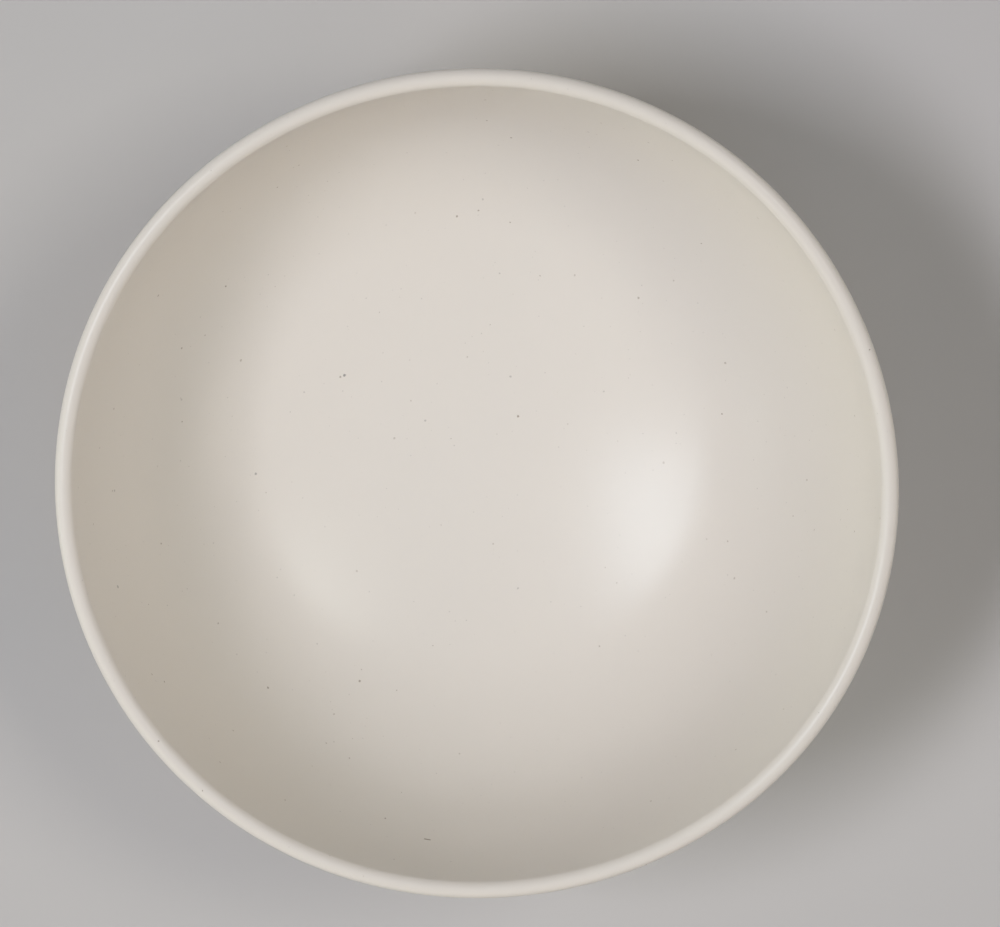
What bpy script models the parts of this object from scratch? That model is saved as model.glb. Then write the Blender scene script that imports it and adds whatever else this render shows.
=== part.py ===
"""Evaporating dish: a round open bowl of white stoneware, resting on a flat base.

The dish is formed from one lump of clay and fired once, so it is one closed solid. Its half
section is drawn as arcs, turned about +Z, and then given the slight out-of-round warp that a
large bowl takes in the kiln. Lengths are in metres, +Z is up, and the origin is the middle of
the flat base.
"""

import math

import bmesh
import bpy
from mathutils import Vector

# Driving dimensions
RIM_DIAMETER = 0.300        # over the outside of the lip
BOWL_DEPTH = 0.113          # from the top of the lip down to the middle of the inside floor
BASE_THICKNESS = 0.0070     # clay under the middle of the floor
LIP_THICKNESS = 0.0064      # the lip is a full round of this diameter, and the wall is as thick
BASE_DIAMETER = 0.104       # flat face the dish stands on, inside its rounded edge
BASE_EDGE_RADIUS = 0.0060   # round between the flat base and the outside wall
FLOOR_RADIUS = 0.253        # the inside floor is a shallow cap of this radius

# Slopes of the surfaces, from the horizontal, where one arc of the section meets the next
FLOOR_END_SLOPE = math.radians(18.5)
HEEL_END_SLOPE = math.radians(66.0)
WALL_END_SLOPE = math.radians(84.0)
OUTSIDE_START_SLOPE = math.radians(15.0)
OUTSIDE_SHOULDER_SLOPE = math.radians(40.0)
LIP_TOP_SLOPE = math.radians(180.0)
LIP_WIDEST_SLOPE = math.radians(90.0)

# Kiln warp: how far the rim swells and draws in, as (lobes, height of a lobe, angle of a crest)
WARP_LOBES = (
    (3, 0.00030, math.radians(-37.0)),
    (4, 0.00030, math.radians(-31.0)),
)

# Steps of the mesh
TURN_STEPS = 80
FLOOR_STEPS = 6
HEEL_STEPS = 9
WALL_STEPS = 5
LIP_INNER_STEPS = 4
LIP_OUTER_STEPS = 4
SHOULDER_STEPS = 4
BASE_EDGE_STEPS = 3

POLE_MERGE_DISTANCE = 1.0e-5
SMOOTH_ANGLE = math.radians(35.0)

STONEWARE_COLOUR = (0.78, 0.73, 0.66, 1.0)
STONEWARE_ROUGHNESS = 0.45

RIM_RADIUS = RIM_DIAMETER / 2.0
LIP_RADIUS = LIP_THICKNESS / 2.0
DISH_HEIGHT = BASE_THICKNESS + BOWL_DEPTH


def clear_scene():
    """Removes whatever the scene holds, so the dish stands alone."""
    for item in list(bpy.data.objects):
        bpy.data.objects.remove(item, do_unlink=True)


def slope_normal(slope):
    """Direction straight out through the wall, where the inside surface has that slope."""
    return Vector((math.sin(slope), -math.cos(slope)))


def slope_arc(centre, radius, start, end, steps):
    """Points of an arc from one slope to another, without the first point."""
    return [centre + slope_normal(start + (end - start) * step / steps) * radius
            for step in range(1, steps + 1)]


def tangent_arc_radii(start, end, slopes):
    """Radii of two arcs that run smoothly from start to end.

    The first arc turns from slopes[0] to slopes[1] and the second on to slopes[2].
    """
    sine = [math.sin(slope) for slope in slopes]
    cosine = [math.cos(slope) for slope in slopes]
    across_first, across_second = sine[1] - sine[0], sine[2] - sine[1]
    up_first, up_second = cosine[0] - cosine[1], cosine[1] - cosine[2]
    across, up = end.x - start.x, end.y - start.y
    spread = across_first * up_second - across_second * up_first
    first = (across * up_second - across_second * up) / spread
    second = (across_first * up - across * up_first) / spread
    return first, second


def two_arc_curve(start, end, slopes, steps):
    """Points of the two smooth arcs from start to end, without the start point."""
    first, second = tangent_arc_radii(start, end, slopes)
    first_centre = start - slope_normal(slopes[0]) * first
    points = slope_arc(first_centre, first, slopes[0], slopes[1], steps[0])
    second_centre = points[-1] - slope_normal(slopes[1]) * second
    return points + slope_arc(second_centre, second, slopes[1], slopes[2], steps[1])


def inside_curve(lip_centre):
    """Middle of the floor, then the floor, the heel and the wall up to where the lip begins."""
    centre = Vector((0.0, BASE_THICKNESS + FLOOR_RADIUS))
    floor = [Vector((0.0, BASE_THICKNESS))]
    floor += slope_arc(centre, FLOOR_RADIUS, 0.0, FLOOR_END_SLOPE, FLOOR_STEPS)
    lip_start = lip_centre - slope_normal(WALL_END_SLOPE) * LIP_RADIUS
    slopes = (FLOOR_END_SLOPE, HEEL_END_SLOPE, WALL_END_SLOPE)
    return floor + two_arc_curve(floor[-1], lip_start, slopes, (HEEL_STEPS, WALL_STEPS))


def lip_curve(lip_centre):
    """Over the lip, from its inner side to where the outside wall begins."""
    inner_slope = math.pi + WALL_END_SLOPE
    lip = slope_arc(lip_centre, LIP_RADIUS, inner_slope, LIP_TOP_SLOPE, LIP_INNER_STEPS)
    lip += slope_arc(lip_centre, LIP_RADIUS, LIP_TOP_SLOPE, LIP_WIDEST_SLOPE, LIP_OUTER_STEPS)
    return lip + slope_arc(lip_centre, LIP_RADIUS, LIP_WIDEST_SLOPE, WALL_END_SLOPE, 1)


def outside_curve(inside):
    """Down the outside wall, which follows the inside, and then in to the edge of the base."""
    edge_centre = Vector((BASE_DIAMETER / 2.0, BASE_EDGE_RADIUS))
    start = edge_centre + slope_normal(OUTSIDE_START_SLOPE) * BASE_EDGE_RADIUS
    heel_end = FLOOR_STEPS + HEEL_STEPS
    end = inside[heel_end] + slope_normal(HEEL_END_SLOPE) * LIP_THICKNESS
    slopes = (OUTSIDE_START_SLOPE, OUTSIDE_SHOULDER_SLOPE, HEEL_END_SLOPE)
    rising = [start] + two_arc_curve(start, end, slopes, (SHOULDER_STEPS, HEEL_STEPS))
    for step in range(1, WALL_STEPS):
        slope = HEEL_END_SLOPE + (WALL_END_SLOPE - HEEL_END_SLOPE) * step / WALL_STEPS
        rising.append(inside[heel_end + step] + slope_normal(slope) * LIP_THICKNESS)
    edge = slope_arc(edge_centre, BASE_EDGE_RADIUS, OUTSIDE_START_SLOPE, 0.0, BASE_EDGE_STEPS)
    return rising[::-1] + edge


def dish_section():
    """Half section as (radius, height) points, from the inside floor over the lip to the base."""
    lip_centre = Vector((RIM_RADIUS - LIP_RADIUS, DISH_HEIGHT - LIP_RADIUS))
    inside = inside_curve(lip_centre)
    base_middle = Vector((0.0, 0.0))
    return inside + lip_curve(lip_centre) + outside_curve(inside) + [base_middle]


def warp_scale(point):
    """How much the kiln warp stretches the dish sideways at a point; nothing at the base."""
    height_share = max(point.z, 0.0) / DISH_HEIGHT
    angle = math.atan2(point.y, point.x)
    swell = sum(height * math.cos(lobes * (angle - crest)) for lobes, height, crest in WARP_LOBES)
    return 1.0 + height_share * swell / RIM_RADIUS


def turn_section(section):
    """Mesh of the section turned once about +Z, closed and facing outward."""
    shape = bmesh.new()
    corners = [shape.verts.new((point.x, 0.0, point.y)) for point in section]
    edges = [shape.edges.new(pair) for pair in zip(corners, corners[1:])]
    bmesh.ops.spin(shape, geom=corners + edges, cent=(0.0, 0.0, 0.0), axis=(0.0, 0.0, 1.0),
                   angle=math.tau, steps=TURN_STEPS, use_merge=True, use_normal_flip=False,
                   use_duplicate=False)
    bmesh.ops.remove_doubles(shape, verts=shape.verts, dist=POLE_MERGE_DISTANCE)
    for vertex in shape.verts:
        scale = warp_scale(vertex.co)
        vertex.co.x *= scale
        vertex.co.y *= scale
    bmesh.ops.recalc_face_normals(shape, faces=shape.faces)
    mesh = bpy.data.meshes.new("dish")
    shape.to_mesh(mesh)
    shape.free()
    return mesh


def stoneware_material():
    """Dense white clay with a satin surface."""
    material = bpy.data.materials.new("white_stoneware")
    material.use_nodes = True
    shader = material.node_tree.nodes["Principled BSDF"]
    shader.inputs["Base Color"].default_value = STONEWARE_COLOUR
    shader.inputs["Roughness"].default_value = STONEWARE_ROUGHNESS
    shader.inputs["Metallic"].default_value = 0.0
    return material


def build_dish():
    """The dish as one object, standing on its base at the origin."""
    mesh = turn_section(dish_section())
    mesh.shade_smooth()
    mesh.set_sharp_from_angle(angle=SMOOTH_ANGLE)
    mesh.materials.append(stoneware_material())
    dish = bpy.data.objects.new("dish", mesh)
    bpy.context.scene.collection.objects.link(dish)


clear_scene()
build_dish()
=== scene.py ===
"""Evaporating dish: a large open bowl in satin white stoneware, on a pale studio floor.

The dish is one fired piece. Its fine surface is turned here from the same half section as the
solid it stands for, with the same kiln warp, and a faint unevenness is laid over the inside.
Lengths are in metres, +Z is up, and the origin is the middle of the flat base.
"""

import math
from collections import namedtuple

import bmesh
import bpy
from bpy.props import FloatProperty, FloatVectorProperty, IntProperty, PointerProperty
from mathutils import Matrix, Vector, noise


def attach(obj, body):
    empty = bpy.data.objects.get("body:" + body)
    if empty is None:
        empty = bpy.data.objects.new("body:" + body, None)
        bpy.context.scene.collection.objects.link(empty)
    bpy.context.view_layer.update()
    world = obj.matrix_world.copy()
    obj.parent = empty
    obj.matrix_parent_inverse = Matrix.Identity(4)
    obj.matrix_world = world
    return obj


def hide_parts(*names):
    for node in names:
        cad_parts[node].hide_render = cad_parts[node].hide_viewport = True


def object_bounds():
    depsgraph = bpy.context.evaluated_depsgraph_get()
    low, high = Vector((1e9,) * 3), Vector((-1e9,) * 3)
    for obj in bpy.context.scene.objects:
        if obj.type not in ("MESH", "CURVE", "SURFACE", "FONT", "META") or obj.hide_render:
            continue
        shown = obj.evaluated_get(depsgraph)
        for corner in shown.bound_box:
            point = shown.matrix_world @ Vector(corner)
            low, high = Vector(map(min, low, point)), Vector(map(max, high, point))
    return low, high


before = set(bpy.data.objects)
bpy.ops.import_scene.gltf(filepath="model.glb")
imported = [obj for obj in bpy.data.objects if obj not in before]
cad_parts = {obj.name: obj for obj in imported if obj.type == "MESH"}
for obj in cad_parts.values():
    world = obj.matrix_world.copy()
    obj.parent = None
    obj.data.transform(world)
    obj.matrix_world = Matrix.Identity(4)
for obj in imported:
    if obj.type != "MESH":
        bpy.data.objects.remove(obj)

bl_info = {
    "name": "Evaporating Dish",
    "version": (1, 0, 0),
    "blender": (4, 5, 0),
    "location": "3D View > Sidebar > Dish",
    "description": "Turns an evaporating dish in white stoneware and sets it in a small studio",
    "category": "Add Mesh",
}

CAD_LOW, CAD_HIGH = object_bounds()
DISH_HEIGHT = CAD_HIGH.z - CAD_LOW.z

# Slopes of the surfaces, from the horizontal, where one arc of the section meets the next
FLOOR_END_SLOPE = math.radians(18.5)
HEEL_END_SLOPE = math.radians(66.0)
WALL_END_SLOPE = math.radians(84.0)
OUTSIDE_START_SLOPE = math.radians(15.0)
OUTSIDE_SHOULDER_SLOPE = math.radians(40.0)
LIP_TOP_SLOPE = math.radians(180.0)
LIP_WIDEST_SLOPE = math.radians(90.0)

# Kiln warp: how far the rim swells and draws in, as (lobes, height of a lobe, angle of a crest)
WARP_LOBES = (
    (3, 0.00030, math.radians(-37.0)),
    (4, 0.00030, math.radians(-31.0)),
)

# Steps along the section
FLOOR_STEPS = 44
HEEL_STEPS = 44
WALL_STEPS = 30
LIP_INNER_STEPS = 16
LIP_OUTER_STEPS = 16
SHOULDER_STEPS = 16
BASE_EDGE_STEPS = 8
BASE_STEPS = 10
POLE_MERGE_DISTANCE = 1.0e-5

# Small specks, strewn one to a cell: the width of a cell, and a speck's largest radius and strength
SpeckKind = namedtuple("SpeckKind", "cell radius strength")
FINE_SPECKS = SpeckKind(0.0036, 0.00034, 0.33)
IRON_SPECKS = SpeckKind(0.0080, 0.00058, 0.70)
LEAST_SPECK_SIZE = 0.45         # the smallest speck, as a share of the largest
LEAST_SPECK_STRENGTH = 0.35     # the faintest speck, as a share of the strongest
SPECK_EDGE = 0.35               # how much of a small speck's radius its soft edge takes
LARGE_SPECK_CORE = 0.55         # how much of a large speck's radius is at full strength
SPECK_WOBBLE = 0.0006           # width of the band in which a speck's outline wanders
SPECK_WOBBLE_SCALE = 900.0      # wanderings to a metre

# The larger iron and ash specks on the inside, as (x, y, radius, strength)
LARGE_SPECKS = (
    (-0.052, 0.024, 0.00075, 0.80),
    (-0.085, -0.012, 0.00065, 0.60),
    (-0.131, -0.042, 0.00070, 0.60),
    (-0.133, -0.009, 0.00060, 0.45),
    (-0.137, 0.009, 0.00050, 0.35),
    (-0.111, 0.019, 0.00045, 0.30),
    (-0.067, 0.018, 0.00050, 0.30),
    (-0.022, 0.006, 0.00055, 0.40),
    (0.010, 0.023, 0.00060, 0.40),
    (0.000, 0.092, 0.00055, 0.35),
    (0.006, 0.063, 0.00050, 0.35),
    (0.013, -0.057, 0.00050, 0.35),
    (0.045, 0.018, 0.00050, 0.30),
    (0.039, 0.121, 0.00050, 0.30),
)

# A short dark mark on the inside of the wall, as the (x, y) of its two ends
HAIR_MARK = ((-0.0178, -0.1363), (-0.0197, -0.1360))
HAIR_HALF_WIDTH = 0.00050
HAIR_CORE = 0.5                 # how much of its width is at full strength
HAIR_STRENGTH = 0.9

# Tone of the glaze: the widths of its broad and its small patches, and how much each adds
DRIFT_WIDTH = 0.045
DRIFT_STRENGTH = 0.014
MOTTLE_WIDTH = 0.0040
MOTTLE_STRENGTH = 0.003
DARKEST_TONE = 0.990

# Gloss of the glaze: how strong it is and its tint, how far its roughness varies, and its grain
GLOSS_STRENGTH = 0.23
GLOSS_TINT = (0.80, 0.93, 1.00, 1.0)
ROUGHNESS_PATCH_WIDTH = 0.006
ROUGHNESS_CHANGE = 0.020
GRAIN_WIDTH = 0.0008

# Wear at the edge of the base: it ends between these heights, less this much where tone drifts
WORN_HEIGHTS = (0.002, 0.006)
WORN_WANDER = 0.004
MOST_WORN = 0.7
WORN_ROUGHNESS = 0.15           # how much rougher the worn clay is

# Camera: tilted off the dish's axis until the rim's short width is this share of its long one
RIM_FORESHORTENING = 0.9823
CAMERA_TILT = math.acos(RIM_FORESHORTENING)
CAMERA_BEARING = math.radians(7.9)  # from +Y toward +X
CAMERA_REACH = 12.0                 # distance in rim radii
VIEW_ACROSS_RIMS = 1.1833           # width of the view in rim diameters
VIEW_SHIFT = (0.0237, 0.0267)
SENSOR_WIDTH = 36.0
CLIP_DISTANCE = 100.0
VIEW_TOP = Vector((0.0, 1.0, 0.0))
UPRIGHT = Vector((0.0, 0.0, 1.0))

# The floor fades into the horizon between these distances, and the horizon into the dim room
# between these heights of a direction's tip
FLOOR_FADE = (0.9, 3.0)
HORIZON_BAND = (0.05, 0.15)
FLOOR_SIDES = 96
FLOOR_ROUGHNESS = 0.8
BLACK = (0.0, 0.0, 0.0, 1.0)

# Lamps, at the same distance from the rim. The bearing is from +X and the elevation is from
# level, in degrees; the width is level, and the light is what falls on the dish.
LAMP_DISTANCE = 4.0
Lamp = namedtuple("Lamp", "name bearing elevation width height light colour")
LAMPS = (
    Lamp("key_softbox", 176.4, 61.9, 1.60, 0.85, 0.472, (1.00, 0.97, 1.00)),
    Lamp("side_softbox", 28.0, 58.8, 1.30, 1.10, 0.213, (1.00, 0.93, 0.80)),
    Lamp("overhead_fill", 0.0, 75.0, 2.80, 2.80, 0.096, (0.63, 0.79, 1.00)),
    Lamp("right_fill", -15.0, 25.0, 1.60, 1.60, 0.122, (1.00, 0.80, 0.64)),
    Lamp("front_left_fill", -123.5, 44.9, 2.00, 2.00, 0.052, (1.00, 0.85, 0.69)),
    Lamp("front_right_fill", -54.1, 43.2, 2.00, 2.00, 0.040, (0.64, 0.80, 1.00)),
    Lamp("low_left", -165.0, 15.0, 1.60, 1.20, 0.178, (0.95, 1.00, 0.82)),
    Lamp("low_front", -90.0, 20.0, 1.60, 1.20, 0.036, (1.00, 0.65, 0.20)),
)


class DishSizes(bpy.types.PropertyGroup):
    """Sizes of the dish."""

    rim_diameter: FloatProperty(
        name="Rim diameter", description="Over the outside of the lip",
        default=0.300, min=0.05, unit="LENGTH")
    base_thickness: FloatProperty(
        name="Base thickness", description="Clay under the middle of the floor",
        default=0.0070, min=0.001, unit="LENGTH")
    lip_thickness: FloatProperty(
        name="Lip thickness", description="The full round of the lip, as thick as the wall",
        default=0.0064, min=0.001, unit="LENGTH")
    base_diameter: FloatProperty(
        name="Base diameter", description="Flat face that the dish stands on",
        default=0.104, min=0.01, unit="LENGTH")
    base_edge_radius: FloatProperty(
        name="Base edge", description="Round between the flat base and the outside wall",
        default=0.0060, min=0.001, unit="LENGTH")
    floor_radius: FloatProperty(
        name="Floor curve", description="Radius of the shallow cap of the inside floor",
        default=0.253, min=0.05, unit="LENGTH")
    unevenness: FloatProperty(
        name="Unevenness", description="How far the turned surface strays from its true curve",
        default=0.00004, min=0.0, precision=5, unit="LENGTH")
    ripple_width: FloatProperty(
        name="Ripple width", description="Width of one swell of the uneven surface",
        default=0.030, min=0.005, unit="LENGTH")
    turn_steps: IntProperty(
        name="Turn steps", description="Faces once round the dish", default=320, min=32)


class StonewareColours(bpy.types.PropertyGroup):
    """Colours and finish of the fired clay."""

    body: FloatVectorProperty(
        name="Body", description="Warm white of the glazed clay",
        subtype="COLOR", size=4, default=(0.820, 0.790, 0.740, 1.0))
    iron: FloatVectorProperty(
        name="Iron speck", description="Brown of the iron specks",
        subtype="COLOR", size=4, default=(0.250, 0.190, 0.130, 1.0))
    ash: FloatVectorProperty(
        name="Ash speck", description="Grey of the ash specks",
        subtype="COLOR", size=4, default=(0.260, 0.250, 0.240, 1.0))
    rubbed: FloatVectorProperty(
        name="Rubbed clay", description="Grey of the clay where the base has worn on benches",
        subtype="COLOR", size=4, default=(0.640, 0.610, 0.565, 1.0))
    roughness: FloatProperty(
        name="Roughness", description="Roughness of the satin surface",
        default=0.29, min=0.0, max=1.0, subtype="FACTOR")
    grain_height: FloatProperty(
        name="Grain height", description="Height of the fine grain of the glaze",
        default=0.000006, min=0.0, precision=6, unit="LENGTH")


class StudioSettings(bpy.types.PropertyGroup):
    """The studio that the dish stands in."""

    floor_width: FloatProperty(
        name="Floor width", description="Width of the studio floor",
        default=12.0, min=1.0, unit="LENGTH")
    floor_colour: FloatVectorProperty(
        name="Floor", description="Pale grey of the floor",
        subtype="COLOR", size=4, default=(0.580, 0.580, 0.585, 1.0))
    horizon_colour: FloatVectorProperty(
        name="Horizon", description="Pale band that the floor fades into",
        subtype="COLOR", size=4, default=(0.500, 0.500, 0.505, 1.0))
    overhead_colour: FloatVectorProperty(
        name="Overhead", description="Dim light of the room above the studio",
        subtype="COLOR", size=4, default=(0.020, 0.020, 0.020, 1.0))
    light_level: FloatProperty(
        name="Light level", description="Strength of all the lamps together",
        default=1.025, min=0.0, subtype="FACTOR", max=4.0)


class Socket:
    """Output of a node, so that shader maths can be written as plain expressions."""

    def __init__(self, board, node, name=0):
        self.board = board
        self.made_by = node
        self.output = node.outputs[name]

    def named(self, name):
        """Another output of the same node."""
        return Socket(self.board, self.made_by, name)

    def maths(self, operation, first, second):
        """A Math node."""
        return self.board.node("ShaderNodeMath", {"operation": operation}, {0: first, 1: second})

    def __add__(self, other):
        return self.maths("ADD", self, other)

    def __radd__(self, other):
        return self.maths("ADD", other, self)

    def __sub__(self, other):
        return self.maths("SUBTRACT", self, other)

    def __mul__(self, other):
        return self.maths("MULTIPLY", self, other)

    def __rmul__(self, other):
        return self.maths("MULTIPLY", other, self)


class NodeBoard:
    """Adds nodes to a tree, each with its settings first and then its inputs."""

    def __init__(self, tree):
        self.tree = tree

    def fill(self, node, inputs):
        """Sets or links the inputs of a node by name or number."""
        for name, value in inputs.items():
            if isinstance(value, Socket):
                self.tree.links.new(value.output, node.inputs[name])
            else:
                node.inputs[name].default_value = value

    def node(self, kind, settings=None, inputs=None, output=0):
        """A new node of one kind, as the named output."""
        node = self.tree.nodes.new(kind)
        for name, value in (settings or {}).items():
            setattr(node, name, value)
        self.fill(node, inputs or {})
        return Socket(self, node, output)

    def blend(self, factor, first, second, kind="MIX"):
        """Colour that goes from the first to the second as the factor rises."""
        settings = {"data_type": "RGBA", "blend_type": kind}
        return self.node("ShaderNodeMix", settings, {0: factor, 6: first, 7: second}, 2)

    def ease(self, value, low, high, start=0.0, end=1.0):
        """Value that eases from start to end as the input goes from low to high."""
        settings = {"interpolation_type": "SMOOTHSTEP"}
        inputs = {"Value": value, "From Min": low, "From Max": high, "To Min": start, "To Max": end}
        return self.node("ShaderNodeMapRange", settings, inputs)

    def vectors(self, operation, first, second, output=0):
        """A Vector Math node."""
        return self.node("ShaderNodeVectorMath", {"operation": operation},
                         {0: first, 1: second}, output)

    def vector_multiply_add(self, vector, factor, offset):
        """A vector times a factor, plus an offset."""
        return self.node("ShaderNodeVectorMath", {"operation": "MULTIPLY_ADD"},
                         {0: vector, 1: factor, 2: offset})

    def cloud(self, place, width, detail=2.0):
        """Soft noise whose patches are about as wide as given, from 0 to 1."""
        return self.node("ShaderNodeTexNoise", {"noise_dimensions": "3D"},
                         {"Vector": place, "Scale": 1.0 / width, "Detail": detail})


def slope_normal(slope):
    """Direction straight out through the wall, where the inside surface has that slope."""
    return Vector((math.sin(slope), -math.cos(slope)))


def slope_arc(centre, radius, start, end, steps):
    """Points of an arc from one slope to another, without the first point."""
    return [centre + slope_normal(start + (end - start) * step / steps) * radius
            for step in range(1, steps + 1)]


def tangent_arc_radii(start, end, slopes):
    """Radii of two arcs that run smoothly from start to end, turning from slope to slope."""
    sine = [math.sin(slope) for slope in slopes]
    cosine = [math.cos(slope) for slope in slopes]
    across_first, across_second = sine[1] - sine[0], sine[2] - sine[1]
    up_first, up_second = cosine[0] - cosine[1], cosine[1] - cosine[2]
    across, up = end.x - start.x, end.y - start.y
    spread = across_first * up_second - across_second * up_first
    first = (across * up_second - across_second * up) / spread
    second = (across_first * up - across * up_first) / spread
    return first, second


def two_arc_curve(start, end, slopes, steps):
    """Points of the two smooth arcs from start to end, without the start point."""
    first, second = tangent_arc_radii(start, end, slopes)
    first_centre = start - slope_normal(slopes[0]) * first
    points = slope_arc(first_centre, first, slopes[0], slopes[1], steps[0])
    second_centre = points[-1] - slope_normal(slopes[1]) * second
    return points + slope_arc(second_centre, second, slopes[1], slopes[2], steps[1])


def lip_middle(sizes):
    """Centre of the round of the lip, as (radius, height)."""
    lip_radius = sizes.lip_thickness / 2.0
    return Vector((sizes.rim_diameter / 2.0 - lip_radius, DISH_HEIGHT - lip_radius))


def inside_curve(sizes):
    """Middle of the floor, then the floor, the heel and the wall up to where the lip begins."""
    centre = Vector((0.0, sizes.base_thickness + sizes.floor_radius))
    floor = [Vector((0.0, sizes.base_thickness))]
    floor += slope_arc(centre, sizes.floor_radius, 0.0, FLOOR_END_SLOPE, FLOOR_STEPS)
    lip_start = lip_middle(sizes) - slope_normal(WALL_END_SLOPE) * sizes.lip_thickness / 2.0
    slopes = (FLOOR_END_SLOPE, HEEL_END_SLOPE, WALL_END_SLOPE)
    return floor + two_arc_curve(floor[-1], lip_start, slopes, (HEEL_STEPS, WALL_STEPS))


def lip_curve(sizes):
    """Over the lip, from its inner side to where the outside wall begins."""
    lip_centre = lip_middle(sizes)
    radius = sizes.lip_thickness / 2.0
    inner_slope = math.pi + WALL_END_SLOPE
    lip = slope_arc(lip_centre, radius, inner_slope, LIP_TOP_SLOPE, LIP_INNER_STEPS)
    lip += slope_arc(lip_centre, radius, LIP_TOP_SLOPE, LIP_WIDEST_SLOPE, LIP_OUTER_STEPS)
    return lip + slope_arc(lip_centre, radius, LIP_WIDEST_SLOPE, WALL_END_SLOPE, 1)


def outside_curve(sizes, inside):
    """Down the outside wall, which follows the inside, and then in to the edge of the base."""
    edge_radius = sizes.base_edge_radius
    edge_centre = Vector((sizes.base_diameter / 2.0, edge_radius))
    start = edge_centre + slope_normal(OUTSIDE_START_SLOPE) * edge_radius
    heel_end = FLOOR_STEPS + HEEL_STEPS
    end = inside[heel_end] + slope_normal(HEEL_END_SLOPE) * sizes.lip_thickness
    slopes = (OUTSIDE_START_SLOPE, OUTSIDE_SHOULDER_SLOPE, HEEL_END_SLOPE)
    rising = [start] + two_arc_curve(start, end, slopes, (SHOULDER_STEPS, HEEL_STEPS))
    for step in range(1, WALL_STEPS):
        slope = HEEL_END_SLOPE + (WALL_END_SLOPE - HEEL_END_SLOPE) * step / WALL_STEPS
        rising.append(inside[heel_end + step] + slope_normal(slope) * sizes.lip_thickness)
    edge = slope_arc(edge_centre, edge_radius, OUTSIDE_START_SLOPE, 0.0, BASE_EDGE_STEPS)
    base = [Vector((sizes.base_diameter / 2.0 * (1.0 - step / BASE_STEPS), 0.0))
            for step in range(1, BASE_STEPS + 1)]
    return rising[::-1] + edge + base


def dish_section(sizes):
    """Half section as (radius, height) points, from the inside floor over the lip to the base."""
    inside = inside_curve(sizes)
    return inside + lip_curve(sizes) + outside_curve(sizes, inside)


def inside_height(sizes, radius):
    """Height of the inside surface that far from the axis."""
    inside = inside_curve(sizes)
    for inner, outer in zip(inside, inside[1:]):
        if outer.x >= radius:
            share = (radius - inner.x) / (outer.x - inner.x)
            return inner.y + (outer.y - inner.y) * share
    raise ValueError("that radius is past the wall of the dish")


def inside_point(sizes, x, y):
    """Place on the inside surface above that point of the base plane."""
    return Vector((x, y, inside_height(sizes, math.hypot(x, y))))


def warp_scale(sizes, point):
    """How much the kiln warp stretches the dish sideways at a point; nothing at the base."""
    height_share = max(point.z, 0.0) / DISH_HEIGHT
    angle = math.atan2(point.y, point.x)
    swell = sum(height * math.cos(lobes * (angle - crest)) for lobes, height, crest in WARP_LOBES)
    return 1.0 + height_share * swell / (sizes.rim_diameter / 2.0)


def is_inside(sizes, vertex):
    """True where the surface faces into the bowl, below the lip."""
    return vertex.normal.z > 0.0 and vertex.co.z < DISH_HEIGHT - sizes.lip_thickness


def turn_section(sizes):
    """Mesh of the section turned once about +Z, closed and facing outward."""
    shape = bmesh.new()
    corners = [shape.verts.new((point.x, 0.0, point.y)) for point in dish_section(sizes)]
    edges = [shape.edges.new(pair) for pair in zip(corners, corners[1:])]
    bmesh.ops.spin(shape, geom=corners + edges, cent=(0.0, 0.0, 0.0), axis=(0.0, 0.0, 1.0),
                   angle=math.tau, steps=sizes.turn_steps, use_merge=True,
                   use_normal_flip=False, use_duplicate=False)
    bmesh.ops.remove_doubles(shape, verts=shape.verts, dist=POLE_MERGE_DISTANCE)
    for vertex in shape.verts:
        scale = warp_scale(sizes, vertex.co)
        vertex.co.x *= scale
        vertex.co.y *= scale
    bmesh.ops.recalc_face_normals(shape, faces=shape.faces)
    shape.normal_update()
    for vertex in shape.verts:
        if is_inside(sizes, vertex):
            swell = noise.noise(vertex.co / sizes.ripple_width) * sizes.unevenness
            vertex.co += vertex.normal * swell
    mesh = bpy.data.meshes.new("dish_body")
    shape.to_mesh(mesh)
    shape.free()
    mesh.shade_smooth()
    return mesh


def small_specks(board, place, kind):
    """Mask of round specks of one kind strewn through the clay."""
    cells = board.node("ShaderNodeTexVoronoi", {"voronoi_dimensions": "3D", "feature": "F1"},
                       {"Vector": place, "Scale": 1.0 / kind.cell}, "Distance")
    chance = board.node("ShaderNodeSeparateColor", {}, {0: cells.named("Color")}, "Green")
    radius = kind.radius / kind.cell
    reach = (LEAST_SPECK_SIZE + (1.0 - LEAST_SPECK_SIZE) * chance) * radius
    edge = board.ease(cells - reach, -SPECK_EDGE * radius, 0.0, 1.0, 0.0)
    strength = LEAST_SPECK_STRENGTH + (1.0 - LEAST_SPECK_STRENGTH) * chance.named("Blue")
    return edge * strength * kind.strength


def large_specks(board, place, sizes):
    """Mask of the larger specks, each at a place of its own on the inside."""
    mask = 0.0
    for x, y, radius, strength in LARGE_SPECKS:
        distance = board.vectors("DISTANCE", place, inside_point(sizes, x, y), "Value")
        mask = board.ease(distance, LARGE_SPECK_CORE * radius, radius, strength, 0.0) + mask
    return mask


def hair_mark(board, place, sizes):
    """Mask of a short dark line on the inside."""
    start, end = (inside_point(sizes, x, y) for x, y in HAIR_MARK)
    run = end - start
    along = board.vectors("DOT_PRODUCT", board.vectors("SUBTRACT", place, start),
                          run / run.length_squared, "Value")
    along = board.node("ShaderNodeClamp", {}, {0: along})
    shares = board.node("ShaderNodeCombineXYZ", {}, {0: along, 1: along, 2: along})
    nearest = board.vector_multiply_add(shares, run, start)
    distance = board.vectors("DISTANCE", place, nearest, "Value")
    core = HAIR_CORE * HAIR_HALF_WIDTH
    return board.ease(distance, core, HAIR_HALF_WIDTH, HAIR_STRENGTH, 0.0)


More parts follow.
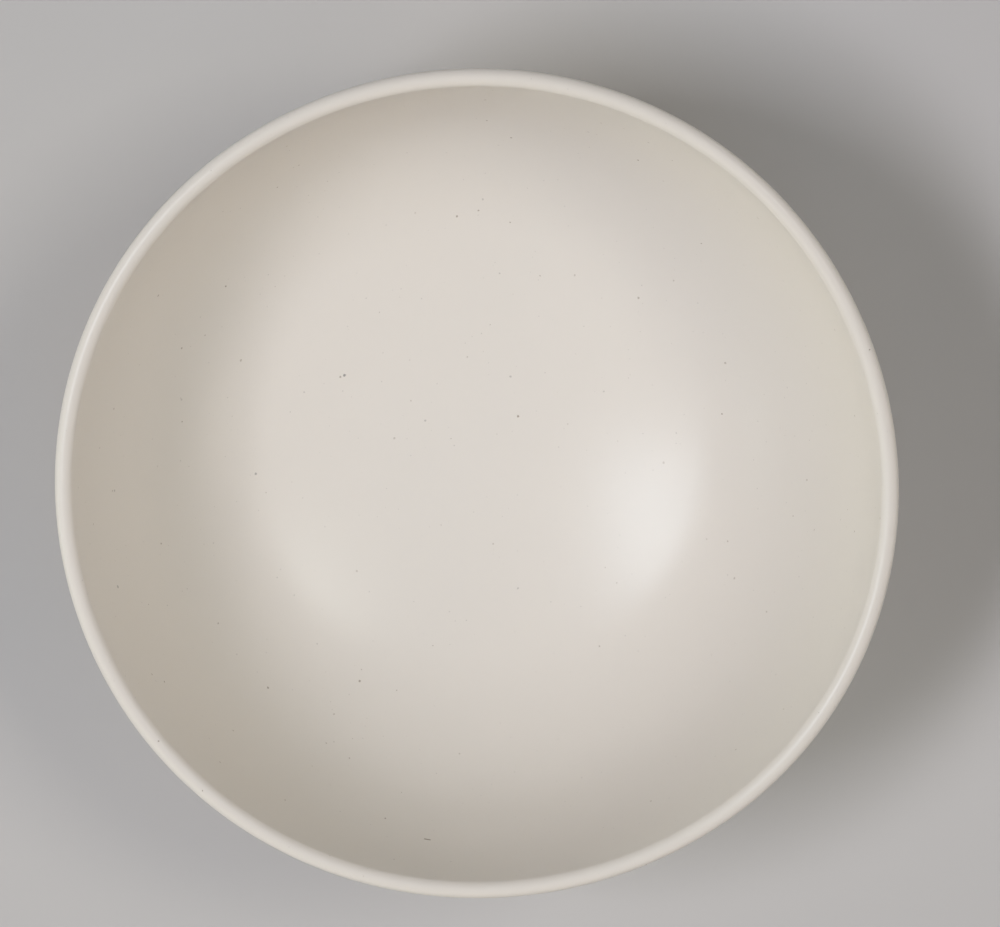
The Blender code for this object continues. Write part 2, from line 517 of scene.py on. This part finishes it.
def tone_colour(board, tone):
    """A grey of that tone."""
    return board.node("ShaderNodeCombineColor", {}, {"Red": tone, "Green": tone, "Blue": tone})


def shaken_place(board, place):
    """The place, moved about a little, so that specks drawn there aren't quite round."""
    wander = board.node("ShaderNodeTexNoise", {"noise_dimensions": "3D"},
                        {"Vector": place, "Scale": SPECK_WOBBLE_SCALE, "Detail": 1.0}, "Color")
    wobble = Vector((SPECK_WOBBLE, SPECK_WOBBLE, SPECK_WOBBLE))
    return board.vectors("ADD", place, board.vector_multiply_add(wander, wobble, -wobble / 2.0))


def stoneware(sizes, colours):
    """Satin white glaze over clay with iron in it: specks, faint mottling and a fine grain."""
    material = bpy.data.materials.new("satin_white_stoneware")
    material.use_nodes = True
    board = NodeBoard(material.node_tree)
    place = board.node("ShaderNodeTexCoord", {}, {}, "Object")

    drift = board.cloud(place, DRIFT_WIDTH)
    mottle = board.cloud(place, MOTTLE_WIDTH, 1.0)
    tone = DARKEST_TONE + DRIFT_STRENGTH * drift + MOTTLE_STRENGTH * mottle
    glaze = board.blend(1.0, tuple(colours.body), tone_colour(board, tone), "MULTIPLY")

    shaken = shaken_place(board, place)
    colour = board.blend(small_specks(board, shaken, FINE_SPECKS), glaze, tuple(colours.ash))
    colour = board.blend(small_specks(board, shaken, IRON_SPECKS), colour, tuple(colours.iron))
    colour = board.blend(large_specks(board, shaken, sizes), colour, tuple(colours.ash))
    colour = board.blend(hair_mark(board, place, sizes), colour, tuple(colours.iron))

    height = board.node("ShaderNodeSeparateXYZ", {}, {0: place}, "Z")
    worn = board.ease(height + WORN_WANDER * drift, *WORN_HEIGHTS, MOST_WORN, 0.0)
    colour = board.blend(worn, colour, tuple(colours.rubbed))

    patches = board.cloud(place, ROUGHNESS_PATCH_WIDTH)
    smoothest = colours.roughness - ROUGHNESS_CHANGE / 2.0
    rough = smoothest + ROUGHNESS_CHANGE * patches + WORN_ROUGHNESS * worn
    bump = board.node("ShaderNodeBump", {}, {"Strength": 1.0, "Distance": colours.grain_height,
                                             "Height": board.cloud(place, GRAIN_WIDTH)})
    board.fill(material.node_tree.nodes["Principled BSDF"], {
        "Base Color": colour, "Roughness": rough, "Normal": bump, "Metallic": 0.0,
        "Specular IOR Level": GLOSS_STRENGTH, "Specular Tint": GLOSS_TINT})
    return material


def floor_material(studio):
    """An even pale grey round the dish, which fades into the glow of the horizon far away."""
    material = bpy.data.materials.new("pale_floor")
    material.use_nodes = True
    board = NodeBoard(material.node_tree)
    place = board.node("ShaderNodeTexCoord", {}, {}, "Object")
    distance = board.node("ShaderNodeVectorMath", {"operation": "LENGTH"}, {0: place}, "Value")
    far = board.ease(distance, *FLOOR_FADE)
    board.fill(material.node_tree.nodes["Principled BSDF"], {
        "Base Color": board.blend(far, tuple(studio.floor_colour), BLACK),
        "Emission Color": board.blend(far, BLACK, tuple(studio.horizon_colour)),
        "Emission Strength": 1.0, "Roughness": FLOOR_ROUGHNESS, "Specular IOR Level": 0.0})
    return material


def link(item):
    """Puts an object in the scene."""
    bpy.context.scene.collection.objects.link(item)
    return item


def axes_facing(back, top):
    """Turn that points an object's -Z away from back, with its +Y leaning to the given top."""
    across = top.cross(back).normalized()
    up = back.cross(across)
    return Matrix((across, up, back)).transposed()


def rim_centre(sizes):
    """Middle of the lip, which the camera and the lamps are aimed at."""
    return Vector((0.0, 0.0, DISH_HEIGHT - sizes.lip_thickness / 2.0))


def add_floor(studio):
    """A wide flat floor under the dish."""
    shape = bmesh.new()
    bmesh.ops.create_circle(shape, cap_ends=True, segments=FLOOR_SIDES,
                            radius=studio.floor_width / 2.0)
    mesh = bpy.data.meshes.new("studio_floor")
    shape.to_mesh(mesh)
    shape.free()
    mesh.materials.append(floor_material(studio))
    floor = link(bpy.data.objects.new("studio_floor", mesh))
    floor.location.z = CAD_LOW.z


def add_lamp(sizes, studio, lamp):
    """A soft rectangular lamp aimed at the dish."""
    bearing, elevation = math.radians(lamp.bearing), math.radians(lamp.elevation)
    toward = Vector((math.cos(bearing) * math.cos(elevation),
                     math.sin(bearing) * math.cos(elevation), math.sin(elevation)))
    light = bpy.data.lights.new(lamp.name, "AREA")
    light.shape = "RECTANGLE"
    light.size = lamp.width
    light.size_y = lamp.height
    light.color = lamp.colour
    light.energy = lamp.light * studio.light_level * (math.pi * LAMP_DISTANCE) ** 2
    item = link(bpy.data.objects.new(lamp.name, light))
    item.location = rim_centre(sizes) + toward * LAMP_DISTANCE
    item.rotation_mode = "QUATERNION"
    item.rotation_quaternion = axes_facing(toward, UPRIGHT).to_quaternion()
    item.visible_camera = False


def add_room_light(studio):
    """Dim light from all round, with a pale band at the horizon for the floor to fade into."""
    world = bpy.data.worlds.new("studio_room")
    bpy.context.scene.world = world
    world.use_nodes = True
    board = NodeBoard(world.node_tree)
    direction = board.node("ShaderNodeTexCoord", {}, {}, "Generated")
    height = board.node("ShaderNodeSeparateXYZ", {}, {0: direction}, "Z")
    share = board.ease(height, *HORIZON_BAND)
    colour = board.blend(share, tuple(studio.horizon_colour), tuple(studio.overhead_colour))
    board.fill(world.node_tree.nodes["Background"], {"Color": colour})


def add_camera(sizes):
    """Looks down into the bowl, a little off its axis."""
    back = Vector((math.sin(CAMERA_BEARING) * math.sin(CAMERA_TILT),
                   math.cos(CAMERA_BEARING) * math.sin(CAMERA_TILT), math.cos(CAMERA_TILT)))
    distance = CAMERA_REACH * sizes.rim_diameter / 2.0
    view = bpy.data.cameras.new("camera")
    view.sensor_width = SENSOR_WIDTH
    view.lens = SENSOR_WIDTH * distance / (VIEW_ACROSS_RIMS * sizes.rim_diameter)
    view.shift_x, view.shift_y = VIEW_SHIFT
    view.clip_end = CLIP_DISTANCE
    camera = link(bpy.data.objects.new("camera", view))
    camera.matrix_world = (Matrix.Translation(rim_centre(sizes) + back * distance)
                           @ axes_facing(back, VIEW_TOP).to_4x4())
    bpy.context.scene.camera = camera


class DISH_OT_turn_dish(bpy.types.Operator):
    """Turn the dish and give it its stoneware finish."""

    bl_idname = "dish.turn_dish"
    bl_label = "Turn Dish"

    def execute(self, context):
        sizes = context.scene.dish_sizes
        mesh = turn_section(sizes)
        mesh.materials.append(stoneware(sizes, context.scene.stoneware_colours))
        dish = link(bpy.data.objects.new("dish_body", mesh))
        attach(dish, "root")
        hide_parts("dish")
        return {"FINISHED"}


class DISH_OT_set_studio(bpy.types.Operator):
    """Lay the floor, hang the lamps and place the camera."""

    bl_idname = "dish.set_studio"
    bl_label = "Set Studio"

    def execute(self, context):
        sizes, studio = context.scene.dish_sizes, context.scene.dish_studio
        add_floor(studio)
        for lamp in LAMPS:
            add_lamp(sizes, studio, lamp)
        add_room_light(studio)
        add_camera(sizes)
        context.scene.view_settings.view_transform = "Standard"
        return {"FINISHED"}


class DISH_PT_panel(bpy.types.Panel):
    """Sizes, colours and buttons for the dish."""

    bl_label = "Evaporating Dish"
    bl_space_type = "VIEW_3D"
    bl_region_type = "UI"
    bl_category = "Dish"

    def draw(self, context):
        scene = context.scene
        for group in (scene.dish_sizes, scene.stoneware_colours, scene.dish_studio):
            box = self.layout.box()
            for name in group.bl_rna.properties.keys():
                if name not in ("rna_type", "name"):
                    box.prop(group, name)
        for operator in OPERATORS:
            self.layout.operator(operator.bl_idname)


GROUPS = {
    "dish_sizes": DishSizes,
    "stoneware_colours": StonewareColours,
    "dish_studio": StudioSettings,
}
OPERATORS = (DISH_OT_turn_dish, DISH_OT_set_studio)
CLASSES = (*GROUPS.values(), *OPERATORS, DISH_PT_panel)


def register():
    """Makes the classes and the scene's settings known to Blender."""
    for item in CLASSES:
        bpy.utils.register_class(item)
    for name, group in GROUPS.items():
        setattr(bpy.types.Scene, name, PointerProperty(type=group))


def unregister():
    """Takes them away again."""
    for name in GROUPS:
        delattr(bpy.types.Scene, name)
    for item in reversed(CLASSES):
        bpy.utils.unregister_class(item)


def main():
    """Makes the dish and its studio."""
    register()
    bpy.ops.dish.turn_dish()
    bpy.ops.dish.set_studio()


if __name__ == "__main__":
    main()
